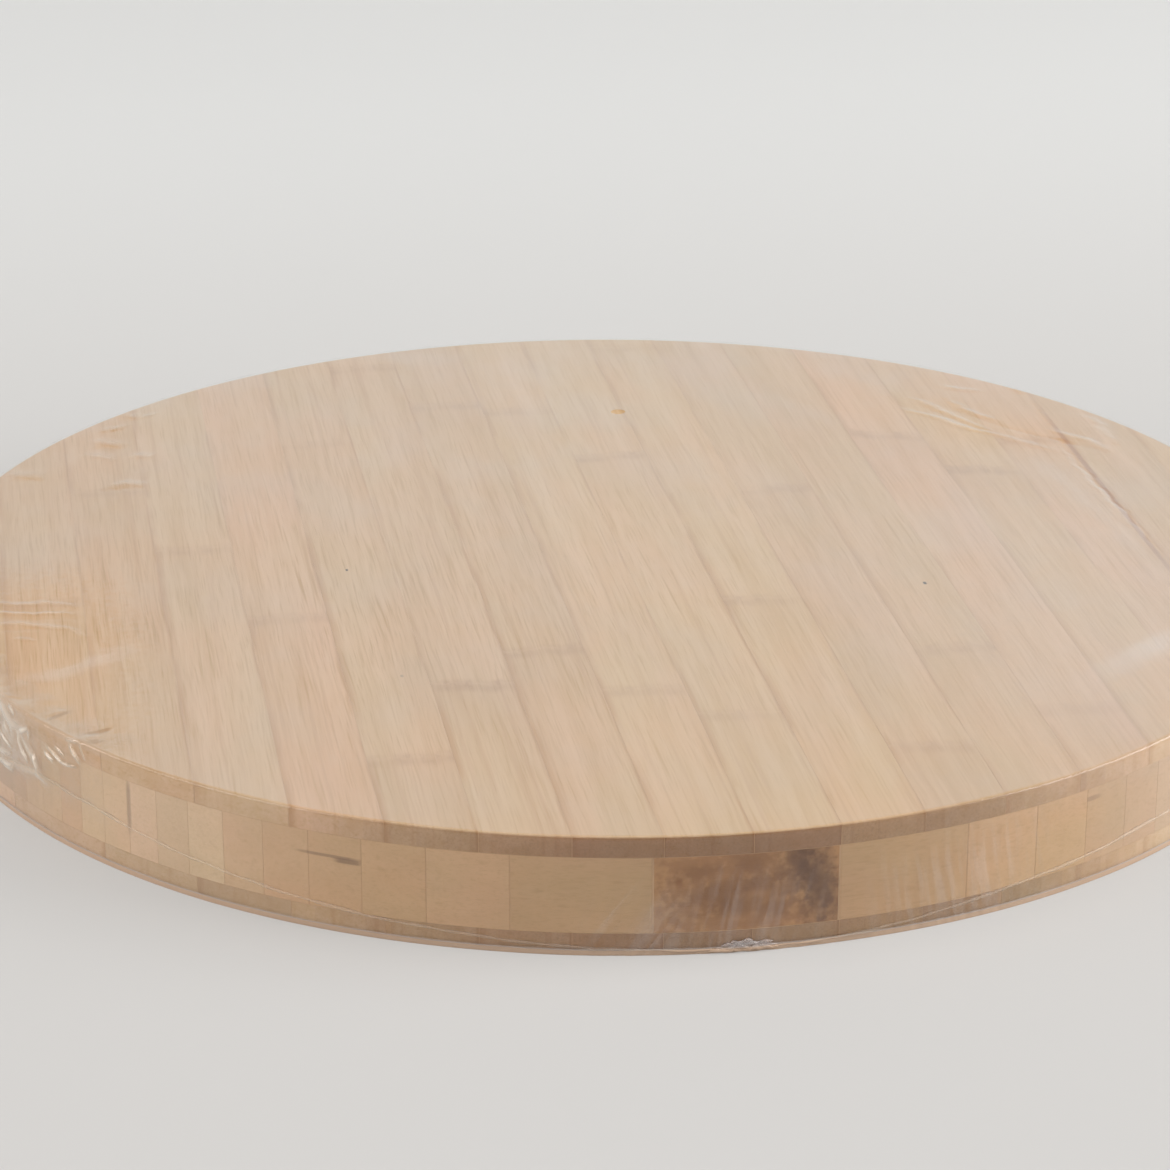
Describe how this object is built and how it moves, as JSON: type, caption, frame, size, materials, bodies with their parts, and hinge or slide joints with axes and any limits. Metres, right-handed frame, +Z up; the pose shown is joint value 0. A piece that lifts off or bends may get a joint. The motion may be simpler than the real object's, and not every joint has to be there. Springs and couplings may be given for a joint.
{
  "type": "round cutting board",
  "caption": "Round three-ply bamboo cutting board, glued up from strips with a crosswise core, still wrapped in clear shrink film.",
  "frame": {"origin": "centre of the wrapped board's underside, on the surface that it rests on", "axes": "+Z up through the board's thickness; the face strips run along Y and the core strips along X"},
  "size_m": [0.3508, 0.3508, 0.0288],
  "materials": {
    "face_bamboo": "planed and sanded bare bamboo, flat-pressed strips",
    "core_bamboo": "sanded bare bamboo, strips on edge",
    "clear_film": "clear glossy shrink film, wrinkled"
  },
  "bodies": {
    "root": {"top_strip_left_01": "face_bamboo", "top_strip_left_02": "face_bamboo", "top_strip_left_03": "face_bamboo", "top_strip_left_04": "face_bamboo", "top_strip_left_05": "face_bamboo", "top_strip_left_06": "face_bamboo", "top_strip_left_07": "face_bamboo", "top_strip_left_08": "face_bamboo", "top_strip_left_09": "face_bamboo", "top_strip_right_01": "face_bamboo", "top_strip_right_02": "face_bamboo", "top_strip_right_03": "face_bamboo", "top_strip_right_04": "face_bamboo", "top_strip_right_05": "face_bamboo", "top_strip_right_06": "face_bamboo", "top_strip_right_07": "face_bamboo", "top_strip_right_08": "face_bamboo", "top_strip_right_09": "face_bamboo", "bottom_strip_left_01": "face_bamboo", "bottom_strip_left_02": "face_bamboo", "bottom_strip_left_03": "face_bamboo", "bottom_strip_left_04": "face_bamboo", "bottom_strip_left_05": "face_bamboo", "bottom_strip_left_06": "face_bamboo", "bottom_strip_left_07": "face_bamboo", "bottom_strip_left_08": "face_bamboo", "bottom_strip_left_09": "face_bamboo", "bottom_strip_right_01": "face_bamboo", "bottom_strip_right_02": "face_bamboo", "bottom_strip_right_03": "face_bamboo", "bottom_strip_right_04": "face_bamboo", "bottom_strip_right_05": "face_bamboo", "bottom_strip_right_06": "face_bamboo", "bottom_strip_right_07": "face_bamboo", "bottom_strip_right_08": "face_bamboo", "bottom_strip_right_09": "face_bamboo", "core_strips_front_01": "core_bamboo", "core_strips_front_02": "core_bamboo", "core_strips_front_03": "core_bamboo", "core_strips_front_04": "core_bamboo", "core_strips_front_05": "core_bamboo", "core_strips_front_06": "core_bamboo", "core_strips_front_07": "core_bamboo", "core_strips_front_08": "core_bamboo", "core_strips_front_09": "core_bamboo", "core_strips_front_10": "core_bamboo", "core_strips_back_01": "core_bamboo", "core_strips_back_02": "core_bamboo", "core_strips_back_03": "core_bamboo", "core_strips_back_04": "core_bamboo", "core_strips_back_05": "core_bamboo", "core_strips_back_06": "core_bamboo", "core_strips_back_07": "core_bamboo", "core_strips_back_08": "core_bamboo", "core_strips_back_09": "core_bamboo", "shrink_film": "clear_film"}
  },
  "joints": []
}
